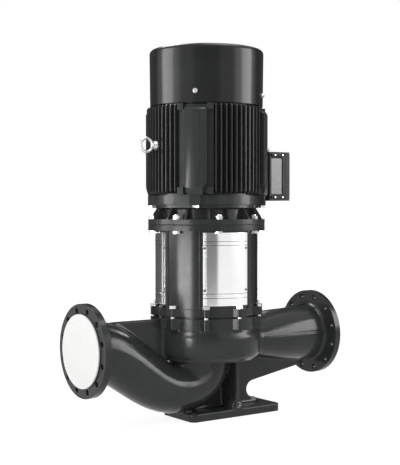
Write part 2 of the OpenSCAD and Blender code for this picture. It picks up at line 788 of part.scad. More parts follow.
module drive_end_shield() {
    b = lower_bearing;
    seat_top = z_lower_bearing + b[2];
    rib = [[neck_shield_r - 8, z_flange_top - eps], [upper_flange_r - 9, z_flange_top - eps],
        [upper_flange_r - 9, z_flange_top + 3], [neck_shield_r + 10, z_shield_ring - 10],
        [neck_shield_r - 8, z_shield_ring - 10]];
    color(black_paint) difference() {
        union() {
            rotate_extrude() polygon([
                [45, z_motor], [spigot_r - 15, z_motor], [spigot_r - 15, z_motor - 5],
                [spigot_r, z_motor - 5], [spigot_r, z_motor], [upper_flange_r - 2.5, z_motor],
                [upper_flange_r, z_motor + 2.5], [upper_flange_r, z_flange_top],
                [neck_shield_r, z_flange_top],
                [neck_shield_r, z_shield_ring - 20], [ring_b_r, z_shield_ring - 14],
                [ring_b_r, z_shield_ring - 5], [shield_ring_r - 6, z_shield_ring - 5],
                [shield_ring_r - 6, z_shield_ring], [shield_ring_r, z_shield_ring],
                [shield_ring_r, z_frame], [barrel_r, z_frame], [barrel_r, z_frame - 8],
                [frame_bore_r - 18, z_frame - 8], [neck_shield_r - shield_wall, z_shield_ring - 20],
                [neck_shield_r - shield_wall, z_flange_top + 2], [b[1] + bearing_hub_wall, z_flange_top + 2],
                [b[1] + bearing_hub_wall, seat_top + 3], [b[1], seat_top + 3],
                [b[1], z_lower_bearing], [45, z_lower_bearing]
            ]);
            for (side = [-1, 1]) round_shaft(motor_bolts_n, side * shield_rib_half) web(rib, 9);
            for (a = pad_angles) rotate([0, 0, a])
                translate([shield_ring_r - 12, -shield_lug_w / 2, z_frame - shield_lug_h])
                    cube([lug_bolt_r + 14 - shield_ring_r + 12, shield_lug_w, shield_lug_h]);
        }
        round_shaft(motor_bolts_n, 180 / motor_bolts_n) translate([motor_bolt_r, 0, z_motor - eps])
            cylinder(d = motor_bolt_d + 2, h = upper_flange_t + 2 * eps);
        for (a = pad_angles) rotate([0, 0, a]) translate([lug_bolt_r, 0, z_frame - shield_lug_h - eps])
            cylinder(d = shield_bolt_d + 1, h = shield_lug_h + 2 * eps);
        for (i = [0:3]) rotate([0, 0, 90 * i]) translate([b[1] + 10, 0, seat_top - 12])
            cylinder(d = 8, h = 20);
    }
}

module end_shield_bolts() {
    color(zinc) for (a = pad_angles) rotate([0, 0, a])
        translate([lug_bolt_r, 0, z_frame - shield_lug_h]) mirror([0, 0, 1])
            hex_bolt(shield_bolt_d, 22, 9, shield_lug_h + 22);
}

// One pad: a raised face with narrowed ends and a fine ridge, on a low strip with four corner lugs
module pad_body() {
    foot_r = lug_bolt_r + 12;
    half_w = pad_r * sin(pad_half) + 2;
    half_low = 29;
    half_high = 36;
    strip_h = 17;
    strip_half = pad_half + 7;
    corner_turn = pad_half + 3.5;
    corner_h = 31;
    corner_len = 24;
    ridge_h = 2.5;
    intersection() {
        rotate_extrude(angle = 2 * pad_half, start = -pad_half) polygon([
            [barrel_r - 3, z_frame], [foot_r, z_frame], [pad_r, z_frame + 26],
            [pad_r, z_frame_top - 28], [pad_r - 6, z_frame_top - 20], [barrel_r - 3, z_frame_top - 20]
        ]);
        rotate([90, 0, 90]) linear_extrude(pad_r + 10) polygon([
            [-half_low, z_frame], [half_low, z_frame], [half_low, z_frame + 24], [half_w, z_frame + 46],
            [half_w, z_frame_top - 34], [half_high, z_frame_top - 20], [-half_high, z_frame_top - 20],
            [-half_w, z_frame_top - 34], [-half_w, z_frame + 46], [-half_low, z_frame + 24]
        ]);
    }
    sector(barrel_r - 2, barrel_r + strip_h, strip_half, z_frame + 8, frame_len - 16);
    for (side = [-1, 1], z = [z_frame + 4, z_frame_top - corner_len - 4])
        rotate([0, 0, side * corner_turn]) sector(barrel_r - 1, barrel_r + corner_h, 3, z, corner_len);
    rotate([0, 0, 3]) translate([barrel_r, -2, z_frame + 30])
        cube([pad_h + ridge_h, 4, frame_len - 64]);
}

module motor_frame() {
    fin = [[barrel_r - 4, z_frame + 6], [fin_r - 10, z_frame + 6], [fin_r, z_frame + 14],
        [fin_r, z_frame_top - 12], [fin_r - 6, z_frame_top - 6], [barrel_r - 4, z_frame_top - 6]];
    half_w = tbox_w / 2 - 8;
    color(black_paint) difference() {
        union() {
            rod(barrel_r, z_frame, frame_len);
            rod(barrel_r - 0.2, z_frame - 8, 9);
            difference() {
                for (q = [0:3], i = [0:fins_n - 1])
                    rotate([0, 0, 90 * q + pad_turn + (i - (fins_n - 1) / 2) * fin_pitch]) web(fin, fin_t);
                translate([barrel_r + 2, -tbox_w / 2 - 6, z_tbox - 10])
                    cube([fin_h + 25, tbox_w + 12, tbox_h + 20]);
            }
            for (a = pad_angles) rotate([0, 0, a]) pad_body();
            translate([barrel_r - 16, -half_w, z_frame + 3])
                cube([tbox_x - barrel_r + 16, 2 * half_w, tbox_h + tbox_rise - 9]);
            for (side = [0, 180]) rotate([0, 0, side]) translate([barrel_r - 6, 0, z_eyebolt])
                rotate([0, 90, 0]) cylinder(r = 21, h = eyebolt_seat - barrel_r + 6);
        }
        rod(frame_bore_r, z_frame - 9, frame_len + 10);
        translate([barrel_r - 30, -half_w + 12, z_frame + 18])
            cube([60 + tbox_x - barrel_r, 2 * half_w - 24, tbox_h + tbox_rise - 36]);
        for (a = pad_angles) rotate([0, 0, a]) {
            translate([lug_bolt_r, 0, z_frame - eps]) cylinder(d = shield_bolt_d, h = 26);
        }
        for (a = pad_angles) rotate([0, 0, a + 16]) translate([barrel_r - 6, 0, z_frame_top - 20])
            cylinder(d = 8, h = 22);
        for (side = [0, 180]) rotate([0, 0, side]) translate([eyebolt_seat - 24, 0, z_eyebolt])
            rotate([0, 90, 0]) cylinder(r = 8, h = 30);
    }
}

module stator_core() {
    color(steel) tube(frame_bore_r - seat_fit, rotor_r + air_gap, z_core, core_len);
}

module stator_winding() {
    color(copper) for (z = [z_core - 38, z_core + core_len]) translate([0, 0, z])
        rotate_extrude() polygon([[rotor_r + 8, 0], [frame_bore_r - 16, 0], [frame_bore_r - 12, 19],
            [frame_bore_r - 16, 38], [rotor_r + 8, 38]]);
}

module rear_end_shield() {
    b = upper_bearing;
    seat_top = z_upper_bearing + b[2];
    z_in = z_frame_top - 8;
    color(black_paint) difference() {
        union() {
            rotate_extrude() polygon([
                [b[1], z_in], [frame_bore_r - 0.1, z_in], [frame_bore_r - 0.1, z_frame_top],
                [barrel_r + 6, z_frame_top], [barrel_r + 6, z_frame_top + 12], [b[1] + 26, z_frame_top + 12],
                [b[1] + 20, seat_top + 8], [b[0] + 4, seat_top + 8], [b[0] + 4, seat_top], [b[1], seat_top]
            ]);
            for (a = pad_angles) rotate([0, 0, a]) sector(barrel_r - 6, cowl_r - cowl_t - cowl_gap,
                cowl_ear_half, z_frame_top + 6, cowl_screw_z + 10);
        }
        for (a = pad_angles) rotate([0, 0, a]) {
            rotate([0, 0, 16]) translate([barrel_r - 6, 0, z_frame_top - eps]) cylinder(d = 9, h = 20);
            translate([barrel_r - 4, 0, z_frame_top + cowl_screw_z])
                rotate([0, 90, 0]) cylinder(d = 8.4, h = 40);
        }
    }
}

module rear_shield_bolts() {
    color(zinc) for (a = pad_angles) rotate([0, 0, a + 16])
        translate([barrel_r - 6, 0, z_frame_top + 12]) hex_bolt(8, 13, 6, 26);
}

// Bearing rings share one cut groove that the balls run in
module groove(b, z) {
    r = (b[0] + b[1]) / 2;
    translate([0, 0, z + b[2] / 2]) rotate_extrude() translate([r, 0]) circle(r = b[3] + running);
}

module outer_ring(b, z) {
    difference() {
        tube(b[1] - seat_fit, (b[0] + b[1]) / 2 + b[3] * 0.58, z, b[2]);
        groove(b, z);
    }
}

module inner_ring(b, z) {
    difference() {
        tube((b[0] + b[1]) / 2 - b[3] * 0.58, b[0] + seat_fit, z, b[2]);
        groove(b, z);
    }
}

module balls(b, z) {
    round_shaft(balls_n) translate([(b[0] + b[1]) / 2, 0, z + b[2] / 2]) sphere(r = b[3]);
}

module cage(b, z) {
    r = (b[0] + b[1]) / 2;
    h = 2 * b[3] + 5;
    difference() {
        tube(r + 2.5, r - 2.5, z + (b[2] - h) / 2, h);
        round_shaft(balls_n) translate([r, 0, z + b[2] / 2]) sphere(r = b[3] + 0.15);
    }
}

module lower_bearing_outer() { color(steel) outer_ring(lower_bearing, z_lower_bearing); }
module upper_bearing_outer() { color(steel) outer_ring(upper_bearing, z_upper_bearing); }
module lower_bearing_inner() { color(steel) inner_ring(lower_bearing, z_lower_bearing); }
module upper_bearing_inner() { color(steel) inner_ring(upper_bearing, z_upper_bearing); }
module lower_balls() { color(zinc) balls(lower_bearing, z_lower_bearing); }
module upper_balls() { color(zinc) balls(upper_bearing, z_upper_bearing); }
module lower_cage() { color(bronze) cage(lower_bearing, z_lower_bearing); }
module upper_cage() { color(bronze) cage(upper_bearing, z_upper_bearing); }

module bearing_cap() {
    b = lower_bearing;
    z = z_lower_bearing + b[2] + 3;
    color(cast_black) difference() {
        union() {
            tube(b[1] + bearing_hub_wall - 2, b[0] + 8, z, 7);
            tube(b[1] - 0.2, b[1] - 8, z - 3, 4);
        }
        for (i = [0:3]) rotate([0, 0, 90 * i]) translate([b[1] + 10, 0, z - 1]) cylinder(d = 8.6, h = 9);
    }
}

module bearing_cap_screws() {
    b = lower_bearing;
    color(zinc) for (i = [0:3]) rotate([0, 0, 90 * i])
        translate([b[1] + 10, 0, z_lower_bearing + b[2] + 10]) hex_bolt(8, 13, 5, 20);
}

// Cowl profile in radius and height, set in by one sheet for the inside
function cowl_line(inset) = let (r = cowl_r + cowl_flare, e = cowl_edge_r) concat(
    [[cowl_r - inset, z_frame_top]],
    arc([r - e, z_cowl_top - 4 - e], e - inset, 0, 78, 5),
    [[fan_r - 20, z_cowl_top - 1 - inset], [0, z_cowl_top - inset]]
);

module fan_cowl() {
    slot = 7;
    bar = 6;
    spoke = 10;
    outer = cowl_line(0);
    inner = cowl_line(cowl_t);
    color(black_paint) difference() {
        rotate_extrude() polygon(concat(outer, [for (i = [len(inner) - 1:-1:0]) inner[i]]));
        for (k = [0:grille_rings - 1], q = [0:3]) rotate([0, 0, 90 * q + 45])
            let (r = grille_r + k * (slot + bar))
                sector(r, r + slot, 45 - 180 / PI * spoke / r, z_cowl_top - 16, 24);
        for (a = pad_angles) rotate([0, 0, a]) translate([cowl_r - 14, 0, z_frame_top + cowl_screw_z])
            rotate([0, 90, 0]) cylinder(d = 9, h = 30);
    }
}

module cowl_screws() {
    seat = cowl_r + cowl_flare * cowl_screw_z / cowl_h;
    color(zinc) for (a = pad_angles) rotate([0, 0, a])
        translate([seat + 0.1, 0, z_frame_top + cowl_screw_z]) rotate([0, 90, 0]) {
            cylinder(d = washer_head_d, h = 2);
            translate([0, 0, 1]) hexagon(12, 6);
            translate([0, 0, -18]) cylinder(r = 4 - seat_fit, h = 20);
        }
}

module lifting_eyebolts() {
    ring_x = eyebolt_seat + 8 + eye_ring_r + eye_bar_r;
    color(zinc) for (side = [0, 180]) rotate([0, 0, side]) {
        translate([eyebolt_seat, 0, z_eyebolt]) rotate([0, 90, 0]) {
            cylinder(r1 = 15, r2 = 12, h = 8);
            translate([0, 0, -20]) cylinder(r = 8 - seat_fit, h = 22);
            translate([0, 0, 7]) cylinder(r1 = 12, r2 = 7, h = eye_bar_r + 3);
        }
        translate([ring_x, 0, z_eyebolt]) rotate([side == 180 ? 90 : 0, 0, 0])
            rotate_extrude() translate([eye_ring_r, 0]) circle(r = eye_bar_r);
    }
}

// The four screw places of the terminal box's lid, at a distance from the shaft
module at_lid_screws(x) {
    half_w = tbox_w / 2 - lid_screw_inset;
    half_h = tbox_h / 2 - lid_screw_inset;
    for (y = [-1, 1], h = [-1, 1]) translate([x, y * half_w, z_tbox + tbox_h / 2 + h * half_h])
        rotate([0, 90, 0]) children();
}

module terminal_box() {
    z = z_tbox;
    band = 22;
    color(black_paint) difference() {
        translate([tbox_x, -tbox_w / 2, z]) cube([tbox_d, tbox_w, tbox_h]);
        translate([tbox_x + tbox_wall, -tbox_w / 2 + tbox_wall + 3, z + tbox_wall + 3])
            cube([tbox_d, tbox_w - 2 * tbox_wall - 6, tbox_h - 2 * tbox_wall - 6]);
        for (side = [-1, 1]) translate([tbox_x + 8, side > 0 ? tbox_w / 2 - 3 : -tbox_w / 2 - 3, z + band])
            cube([tbox_d - 20, 6, tbox_h - 2 * band]);
        translate([tbox_x - eps, -40, z + 50]) cube([tbox_wall + 2 * eps, 80, 80]);
        translate([tbox_x + tbox_d / 2, tbox_w / 2 - 20, z + tbox_h / 2]) rotate([-90, 0, 0])
            cylinder(d = gland_d - 10, h = 30);
        at_lid_screws(tbox_x + tbox_d - 20) cylinder(d = lid_screw_d, h = 30);
    }
}

module lid_gasket() {
    z = z_tbox;
    color(rubber_black) difference() {
        translate([tbox_x + tbox_d, -tbox_w / 2 + 1, z + 1]) cube([lid_gasket_t, tbox_w - 2, tbox_h - 2]);
        translate([tbox_x + tbox_d - 1, -tbox_w / 2 + tbox_wall + 3, z + tbox_wall + 3])
            cube([4, tbox_w - 2 * tbox_wall - 6, tbox_h - 2 * tbox_wall - 6]);
        at_lid_screws(tbox_x + tbox_d - 1) cylinder(d = lid_screw_d, h = 4);
    }
}

module terminal_lid() {
    z = z_tbox;
    x = tlid_x;
    color(black_paint) difference() {
        translate([x, -tbox_w / 2, z]) cube([tlid_t, tbox_w, tbox_h]);
        translate([x - eps, -tbox_w / 2 + 12, z + 12]) cube([tlid_t - 5 + eps, tbox_w - 24, tbox_h - 24]);
        at_lid_screws(x - eps) cylinder(d = lid_screw_d, h = tlid_t + 2 * eps);
    }
}

module lid_screws() {
    color(zinc) at_lid_screws(tlid_x + tlid_t) {
        cylinder(d = 8.5, h = 3.5);
        translate([0, 0, -tlid_t - 14]) cylinder(r = lid_screw_d / 2 - seat_fit, h = tlid_t + 15);
    }
}

// The six studs of the terminal block
module at_studs() {
    for (i = [-2.5:2.5]) translate([tbox_x + tbox_wall + 8, i * 15, z_tbox + 40])
        rotate([0, 90, 0]) children();
}

module terminal_block() {
    color(plastic_grey) difference() {
        translate([tbox_x + tbox_wall, -45, z_tbox + 32]) cube([22, 90, 16]);
        at_studs() cylinder(d = stud_d, h = 20);
    }
}

module terminal_studs() {
    color(bronze) at_studs() {
        cylinder(r = stud_d / 2 - seat_fit, h = 30);
        translate([0, 0, 14]) hexagon(9, 5);
    }
}

module cable_gland() {
    z = z_tbox + tbox_h / 2;
    color(plastic_grey) translate([tbox_x + tbox_d / 2, tbox_w / 2 - 3, z]) rotate([-90, 0, 0]) difference() {
        union() {
            translate([0, 0, -10]) cylinder(r = gland_d / 2 - 5 - seat_fit, h = 14);
            translate([0, 0, 3.05]) hexagon(gland_d, 9);
            translate([0, 0, 11]) cylinder(d = gland_d - 4, h = 8);
            translate([0, 0, 18]) hexagon(gland_d - 4, 14);
            translate([0, 0, 31]) cylinder(d1 = gland_d - 6, d2 = gland_d - 22, h = 8);
        }
        translate([0, 0, -11]) cylinder(d = gland_d - 26, h = 52);
    }
}

module drain_plug() {
    color(steel) translate([foot_shift, -foot_w / 2 + 1, foot_t + 16]) rotate([-90, 0, 0]) {
        cylinder(r = 9 - seat_fit, h = 20);
        translate([0, 0, -4]) cylinder(r = 12, h = 4);
        rotate([0, 0, 45]) translate([-6, -6, -12]) cube([12, 12, 9]);
    }
}

module port_cap() {
    plug_r = nozzle_bore / 2 - cap_clearance;
    color(cap_white) translate([-face_to_face / 2, 0, z_axis]) rotate([0, -90, 0]) {
        translate([0, 0, 0.3]) cylinder(d = face_od, h = cap_t);
        tube(plug_r, plug_r - 4, -14, 15);
    }
}

module motor_shaft() {
    b = lower_bearing;
    u = upper_bearing;
    z_b = z_lower_bearing + b[2];
    color(steel) difference() {
        rotate_extrude() polygon([
            [0, z_shaft_end], [motor_shaft_r - 1, z_shaft_end], [motor_shaft_r, z_shaft_end + 1],
            [motor_shaft_r, z_motor + 20], [b[0], z_motor + 20], [b[0], z_b],
            [b[0] + shoulder, z_b], [b[0] + shoulder, z_b + 16], [b[0] + 7, z_b + 16],
            [b[0] + 7, z_upper_bearing - 24], [u[0] + shoulder, z_upper_bearing - 24],
            [u[0] + shoulder, z_upper_bearing], [u[0], z_upper_bearing], [u[0], z_upper_bearing + u[2] + 2],
            [fan_seat_r, z_upper_bearing + u[2] + 2], [fan_seat_r, z_fan + 50], [fan_seat_r - 2, z_fan + 50],
            [fan_seat_r - 2, z_fan + 53], [fan_seat_r, z_fan + 53], [fan_seat_r, z_fan + 60], [0, z_fan + 60]
        ]);
        translate([motor_shaft_r - key_h * 0.6, -key_w / 2, z_shaft_end + 8])
            cube([20, key_w, coupling_len / 2 - 14]);
    }
}

module rotor_core() {
    color(steel) tube(rotor_r, lower_bearing[0] + 7 + seat_fit, z_core, core_len);
}

module rotor_end_rings() {
    color(zinc) for (z = [z_core - 18, z_core + core_len]) tube(rotor_r - 4, rotor_r - 44, z, 18);
}

module pump_shaft() {
    z_top = z_shaft_end - shaft_gap;
    z_thread = z_nose - washer_t - nut_h - 4;
    color(stainless) difference() {
        rotate_extrude() polygon([
            [0, z_thread], [thread_r - 1, z_thread], [thread_r, z_thread + 1], [thread_r, z_nose + 2],
            [impeller_seat_r, z_nose + 2], [impeller_seat_r, z_hub], [pump_shaft_r, z_hub],
            [pump_shaft_r, z_top - 1], [pump_shaft_r - 1, z_top], [0, z_top]
        ]);
        translate([impeller_seat_r - 5, -5, z_nose + 12]) cube([10, 10, z_hub - z_nose - 20]);
    }
}

// The places of the coupling's clamping bolts
module at_clamps() {
    for (x = [-1, 1], h = [0.12, 0.36, 0.64, 0.88])
        translate([x * clamp_x, 0, z_coupling + h * coupling_len]) rotate([-90, 0, 0]) children();
}

// Half of the split muff that clamps both shaft ends
module coupling_half() {
    difference() {
        rod(coupling_r, z_coupling, coupling_len);
        rod(pump_shaft_r + seat_fit, z_coupling - eps, coupling_len / 2 + eps);
        rod(motor_shaft_r + seat_fit, z_shaft_end - 3, coupling_len / 2 + 4);
        translate([-coupling_r - eps, coupling_split - 2 * coupling_r, z_coupling - eps])
            cube([2 * (coupling_r + eps), 2 * coupling_r, coupling_len + 2 * eps]);
        at_clamps() {
            cylinder(d = clamp_d + 0.6, h = coupling_r);
            translate([0, 0, clamp_seat]) cylinder(d = 17, h = 60);
        }
    }
}

module coupling_halves() {
    color(steel) difference() {
        union() {
            coupling_half();
            rotate([0, 0, 180]) coupling_half();
        }
        translate([0, -key_w / 2, z_shaft_end + 7]) cube([motor_shaft_r + 6, key_w, coupling_len / 2 - 12]);
    }
}

module coupling_bolts() {
    color(zinc) at_clamps() {
        translate([0, 0, -clamp_seat - 1]) cylinder(d = clamp_d, h = 2 * clamp_seat + 2);
        for (side = [0, 1]) mirror([0, 0, side]) translate([0, 0, clamp_seat]) cylinder(d = 16, h = 9);
    }
}

module coupling_key() {
    color(steel) translate([motor_shaft_r - key_h * 0.6 + 0.1, -key_w / 2 + 0.05, z_shaft_end + 8.5])
        cube([key_h, key_w - 0.1, coupling_len / 2 - 15]);
}

// Outline of one backward-curved vane between the eye and the rim
module vane_outline() {
    n = 8;
    r0 = 62;
    wrap = 62;
    t = 5;
    side = function (s) [for (i = [0:n])
        let (r = r0 + (impeller_r - 1 - r0) * i / n, a = -wrap * i / n + s * 90 * t / (PI * r))
        [r * cos(a), r * sin(a)]];
    polygon(concat(side(1), [for (i = [n:-1:0]) side(-1)[i]]));
}

module impeller() {
    color(bronze) difference() {
        union() {
            rotate_extrude() polygon([
                [impeller_seat_r, z_nose], [hub_r - 4, z_nose], [hub_r + 6, z_nose + 16],
                [hub_r + 22, z_back - 8], [hub_r + 44, z_back], [impeller_r, z_back],
                [impeller_r, z_back + shroud_t], [hub_r + 4, z_back + shroud_t],
                [hub_r, z_back + shroud_t + 4], [hub_r, z_hub], [impeller_seat_r, z_hub]
            ]);
            rotate_extrude() polygon([
                [eye_r, z_eye], [eye_r, z_front - 13], [eye_r + 8, z_front - 4], [eye_r + 24, z_front],
                [impeller_r, z_front], [impeller_r, z_front - shroud_t],
                [eye_ring_out + 18, z_front - shroud_t], [eye_ring_out, z_front - 12], [eye_ring_out, z_eye]
            ]);
            intersection() {
                translate([0, 0, z_front - 14]) round_shaft(vanes_n)
                    linear_extrude(outlet_w + 20) vane_outline();
                rotate_extrude() polygon([
                    [hub_r + 10, z_front - 8], [eye_r + 3, z_front - 12], [eye_r + 12, z_front - 3],
                    [eye_r + 24, z_front - 2], [impeller_r - 0.5, z_front - 2],
                    [impeller_r - 0.5, z_back + 2], [hub_r + 40, z_back + 2], [hub_r + 10, z_back - 10]
                ]);
            }
        }
        translate([impeller_seat_r - 5, -5, z_nose - eps]) cube([8.5, 10, z_hub - z_nose + 2 * eps]);
    }
}

module impeller_key() {
    color(steel) translate([impeller_seat_r - 4.9, -4.95, z_nose + 12.5]) cube([8, 9.9, z_hub - z_nose - 21]);
}

module impeller_washer() {
    color(steel) tube(26, thread_r + 0.1, z_nose - washer_t, washer_t);
}

module impeller_nut() {
    color(steel) translate([0, 0, z_nose - washer_t - nut_h]) difference() {
        hexagon(36, nut_h);
        translate([0, 0, -eps]) cylinder(r = thread_r, h = nut_h + 2 * eps);
    }
}

module seal_collar() {
    color(steel) tube(pump_shaft_r + 9, pump_shaft_r + seat_fit, z_collar, collar_h);
}

// Coil of the seal's spring between the collar and the rotating ring
module seal_spring() {
    wire = 1.6;
    r = pump_shaft_r + 5.5;
    z0 = z_collar + collar_h + wire + 0.2;
    z1 = z_seat_face - seal_face_gap - ring_len - wire - 0.2;
    turns = 4;
    steps = 20;
    sides = 6;
    n = turns * steps;
    rings = [for (i = [0:n]) let (a = 360 * i / steps, z = z0 + (z1 - z0) * i / n)
        [for (k = [0:sides - 1]) let (b = 360 * k / sides)
            [(r + wire * cos(b)) * cos(a), (r + wire * cos(b)) * sin(a), z + wire * sin(b)]]];
    color(zinc) polyhedron(
        points = [for (q = rings) each q],
        faces = concat(
            [[for (k = [sides - 1:-1:0]) k]],
            [[for (k = [0:sides - 1]) n * sides + k]],
            [for (i = [0:n - 1], k = [0:sides - 1]) let (j = (k + 1) % sides)
                [i * sides + k, i * sides + j, (i + 1) * sides + k]],
            [for (i = [0:n - 1], k = [0:sides - 1]) let (j = (k + 1) % sides)
                [(i + 1) * sides + k, i * sides + j, (i + 1) * sides + j]]
        )
    );
}

module seal_ring() {
    z = z_seat_face - seal_face_gap - ring_len;
    color(steel) tube(pump_shaft_r + 12, pump_shaft_r + 0.1, z, ring_len);
}

module cooling_fan() {
    blade_h = 74;
    color(plastic_grey) difference() {
        union() {
            tube(fan_hub_r, fan_seat_r + seat_fit, z_fan, 50);
            tube(fan_r, fan_hub_r - 2, z_fan, 4);
            round_shaft(fan_blades) translate([fan_hub_r - 3, -2.5, z_fan + 2])
                cube([fan_r - fan_hub_r - 4, 5, blade_h]);
        }
        rotate_extrude() polygon([
            [fan_hub_r + 4, z_fan + 54], [fan_r - 50, z_fan + 80], [fan_hub_r + 4, z_fan + 80]
        ]);
    }
}

module fan_circlip() {
    color(steel) difference() {
        tube(fan_seat_r + 5, fan_seat_r - 2, z_fan + 50.2, 2.6);
        translate([0, -4, z_fan + 49]) cube([40, 8, 6]);
    }
}

pump_casing();
wear_ring();
casing_gasket();
seal_cover();
seal_seat();
lantern();
casing_bolts();
jacking_screws();
coupling_guards();
guard_screws();
motor_flange_bolts();
motor_flange_nuts();
drive_end_shield();
end_shield_bolts();
motor_frame();
stator_core();
stator_winding();
rear_end_shield();
rear_shield_bolts();
lower_bearing_outer();
upper_bearing_outer();
bearing_cap();
bearing_cap_screws();
fan_cowl();
cowl_screws();
lifting_eyebolts();
terminal_box();
terminal_lid();
lid_gasket();
lid_screws();
terminal_block();
terminal_studs();
cable_gland();
drain_plug();
vent_plug();
port_cap();
motor_shaft();
rotor_core();
rotor_end_rings();
lower_bearing_inner();
upper_bearing_inner();
coupling_halves();
coupling_bolts();
coupling_key();
pump_shaft();
impeller();
impeller_key();
impeller_washer();
impeller_nut();
seal_collar();
seal_spring();
seal_ring();
cooling_fan();
fan_circlip();
lower_balls();
lower_cage();
upper_balls();
upper_cage();
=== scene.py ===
import json
import math

import bmesh
import bpy
import numpy as np
from mathutils import Euler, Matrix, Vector


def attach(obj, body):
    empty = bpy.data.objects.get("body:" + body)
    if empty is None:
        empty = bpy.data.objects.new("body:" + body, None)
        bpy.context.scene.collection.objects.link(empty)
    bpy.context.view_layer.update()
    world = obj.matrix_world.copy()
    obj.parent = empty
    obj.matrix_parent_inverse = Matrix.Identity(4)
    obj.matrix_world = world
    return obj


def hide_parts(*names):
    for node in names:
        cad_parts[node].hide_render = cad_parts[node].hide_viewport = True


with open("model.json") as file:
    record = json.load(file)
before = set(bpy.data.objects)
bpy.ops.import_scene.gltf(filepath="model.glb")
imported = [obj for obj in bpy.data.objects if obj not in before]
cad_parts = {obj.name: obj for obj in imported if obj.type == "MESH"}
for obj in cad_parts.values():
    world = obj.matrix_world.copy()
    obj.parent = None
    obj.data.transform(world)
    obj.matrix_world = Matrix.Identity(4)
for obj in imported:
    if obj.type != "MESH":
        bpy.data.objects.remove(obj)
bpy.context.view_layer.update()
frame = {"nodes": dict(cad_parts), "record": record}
NODES = frame["nodes"]
SCENE = bpy.context.scene


# ---------------------------------------------------------------- materials

NOISE_SPAN = (0.3, 0.7)     # the part of a noise's range that colours and ramps use
ENAMEL_DARK = (0.0125, 0.0133, 0.013)
ENAMEL_LIGHT = (0.0175, 0.0188, 0.0183)
GUARD_RIB_SHADE = (0.4685, 0.4845, 0.664, 0.678)    # heights of the thin painted shade lines that stand for the pressed ribs across the window guards
RIB_SHADE_HALF = 0.0011        # half the width of a painted shade line
# grey of the painted shade lines on the guards' sheet
RIB_SHADE_GREY = (0.22, 0.22, 0.22, 1)
BEVEL_SAMPLES = 8


class Shader:
    """Node tree of one material, with short calls for the nodes that every finish uses."""

    def __init__(self, name):
        self.material = bpy.data.materials.new(name)
        self.material.use_nodes = True
        self.tree = self.material.node_tree
        self.tree.nodes.clear()
        self.bsdf = self.add("ShaderNodeBsdfPrincipled")
        self.surface = self.add("ShaderNodeOutputMaterial").inputs["Surface"]
        self.link(self.bsdf.outputs[0], self.surface)
        self.place = self.add("ShaderNodeTexCoord").outputs["Object"]

    def add(self, kind, **values):
        node = self.tree.nodes.new(kind)
        for key, value in values.items():
            setattr(node, key, value)
        return node

    def link(self, source, target):
        self.tree.links.new(source, target)

    def stretched(self, scale):
        node = self.add("ShaderNodeMapping")
        node.inputs["Scale"].default_value = scale
        self.link(self.place, node.inputs["Vector"])
        return node.outputs["Vector"]

    def noise(self, scale, detail, rough, stretch=None):
        node = self.add("ShaderNodeTexNoise")
        self.link(self.stretched(stretch) if stretch else self.place, node.inputs["Vector"])
        node.inputs["Scale"].default_value = scale
        node.inputs["Detail"].default_value = detail
        node.inputs["Roughness"].default_value = rough
        return node.outputs["Fac"]

    def ramp(self, source, low, high):
        """A number that runs from low to high with the source."""
        node = self.add("ShaderNodeMapRange")
        node.inputs["From Min"].default_value, node.inputs["From Max"].default_value = NOISE_SPAN
        node.inputs["To Min"].default_value, node.inputs["To Max"].default_value = low, high
        self.link(source, node.inputs["Value"])
        return node.outputs["Result"]

    def colours(self, source, low, high):
        """A colour that runs from low to high with the source."""
        node = self.add("ShaderNodeValToRGB")
        for stop, position, colour in zip(node.color_ramp.elements, NOISE_SPAN, (low, high)):
            stop.position = position
            stop.color = (*colour, 1)
        self.link(source, node.inputs["Fac"])
        return node.outputs["Color"]

    def with_rib_shade(self, colour, height):
        """The colour with a thin line of painted shade across it at one height, where a pressed rib shades
        the sheet.
        """
        split = self.add("ShaderNodeSeparateXYZ")
        self.link(self.place, split.inputs[0])
        near = self.add("ShaderNodeMath", operation="COMPARE")
        near.inputs[1].default_value, near.inputs[2].default_value = height, RIB_SHADE_HALF
        self.link(split.outputs["Z"], near.inputs[0])
        mix = self.add("ShaderNodeMixRGB")
        mix.inputs["Color2"].default_value = RIB_SHADE_GREY
        self.link(near.outputs[0], mix.inputs["Fac"])
        self.link(colour, mix.inputs["Color1"])
        return mix.outputs["Color"]

    def bump(self, heights, edge_radius=0.0012):
        """Rounded edges, then one bump after the other from (height source, strength, distance)."""
        edge = self.add("ShaderNodeBevel", samples=BEVEL_SAMPLES)
        edge.inputs["Radius"].default_value = edge_radius
        normal = edge.outputs["Normal"]
        for source, strength, distance in heights:
            node = self.add("ShaderNodeBump")
            node.inputs["Strength"].default_value = strength
            node.inputs["Distance"].default_value = distance
            self.link(source, node.inputs["Height"])
            self.link(normal, node.inputs["Normal"])
            normal = node.outputs["Normal"]
        self.link(normal, self.bsdf.inputs["Normal"])

    def set(self, **values):
        for key, value in values.items():
            self.bsdf.inputs[key.replace("_", " ")].default_value = value


def black_enamel(name, tone, rough=(0.16, 0.24), cast=0.0, edge_radius=0.0012):
    """Gloss black paint; cast above 0 adds the rough skin of a sand casting under it. tone scales the paint's
    colour and so paints light and shade into it: the parts get lit and shaded copies of the one black paint.
    """
    s = Shader(name)
    dust = s.noise(9, 6, 0.6)
    dark, pale = [tuple(tone * c for c in colour) for colour in (ENAMEL_DARK, ENAMEL_LIGHT)]
    s.link(s.colours(dust, dark, pale), s.bsdf.inputs["Base Color"])
    s.link(s.ramp(s.noise(34, 5, 0.65), rough[0], rough[1] + 0.08 * cast), s.bsdf.inputs["Roughness"])
    s.set(Specular_IOR_Level=0.2)
    heights = [(s.noise(260, 3, 0.6), 0.02 + 0.08 * cast, 0.0004)]
    if cast:
        waves = (s.noise(7, 3, 0.5), 0.2 * cast, 0.012)
        grit = (s.noise(70, 5, 0.6), 0.14 * cast, 0.002)
        heights = [waves, grit] + heights
    s.bump(heights, edge_radius)
    return s.material


